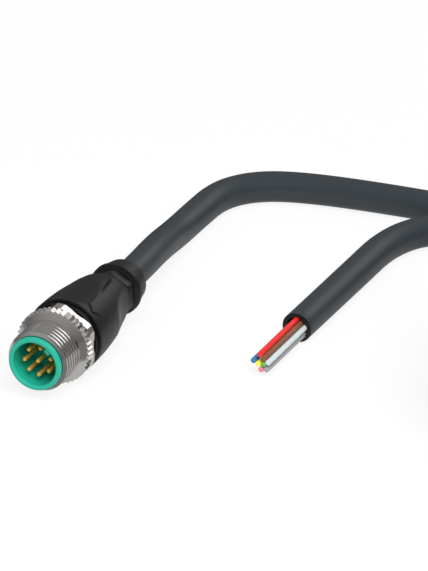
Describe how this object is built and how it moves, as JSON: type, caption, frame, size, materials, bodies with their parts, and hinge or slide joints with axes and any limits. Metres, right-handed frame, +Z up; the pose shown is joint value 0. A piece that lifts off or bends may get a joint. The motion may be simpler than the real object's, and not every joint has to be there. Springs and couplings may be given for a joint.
{
  "type": "circular connector cable plug",
  "caption": "Straight round cable plug with male contacts, threaded coupling screw with knurl and wrench flats, moulded grip, and a cable that ends in bare cores.",
  "frame": {"origin": "under the middle of the plug, cable apart, on the surface that it lies on", "axes": "+Y runs along the plug's axis from the mating face to the cable, +Z is up, +X is to the right seen from the mating face towards the cable"},
  "size_m": [0.13, 0.1052, 0.0313],
  "materials": {
    "green_insert": "moulded teal green, satin gloss",
    "nickel_plate": "nickel-plated brass, turned and knurled",
    "black_plastic": "black, moulded",
    "natural_plastic": "natural, moulded, hidden",
    "grip_black": "black overmould, fine satin",
    "gold_plate": "gold plate, polished",
    "jacket": "anthracite cable jacket, smooth satin",
    "copper": "bare copper strands",
    "core_white": "white core insulation",
    "core_brown": "brown core insulation",
    "core_green": "green core insulation",
    "core_yellow": "yellow core insulation",
    "core_grey": "grey core insulation",
    "core_pink": "pink core insulation",
    "core_blue": "blue core insulation",
    "core_red": "red core insulation"
  },
  "bodies": {
    "plug": {"carrier_skirt": "green_insert", "contact_carrier": "green_insert", "detent_ring": "black_plastic", "inner_mould": "natural_plastic", "grip": "grip_black", "contact_1": "gold_plate", "contact_2": "gold_plate", "contact_3": "gold_plate", "contact_4": "gold_plate", "contact_5": "gold_plate", "contact_6": "gold_plate", "contact_7": "gold_plate", "contact_8": "gold_plate", "inner_core_white": "core_white", "inner_core_brown": "core_brown", "inner_core_green": "core_green", "inner_core_yellow": "core_yellow", "inner_core_grey": "core_grey", "inner_core_pink": "core_pink", "inner_core_blue": "core_blue", "inner_core_red": "core_red", "cable_run_plug": "jacket", "cable_run_open": "jacket", "cable_hank": "jacket", "hank_tie_near": "black_plastic", "hank_tie_far": "black_plastic", "core_white": "core_white", "core_brown": "core_brown", "core_green": "core_green", "core_yellow": "core_yellow", "core_grey": "core_grey", "core_pink": "core_pink", "core_blue": "core_blue", "core_red": "core_red", "core_conductors": "copper"},
    "screw": {"coupling_screw": "nickel_plate"}
  },
  "joints": [
    {"name": "screw_turn", "type": "hinge", "parent": "plug", "child": "screw", "pos_m": [0, -0.0134, 0.00745], "axis": [0, 1, 0], "continuous": true}
  ]
}
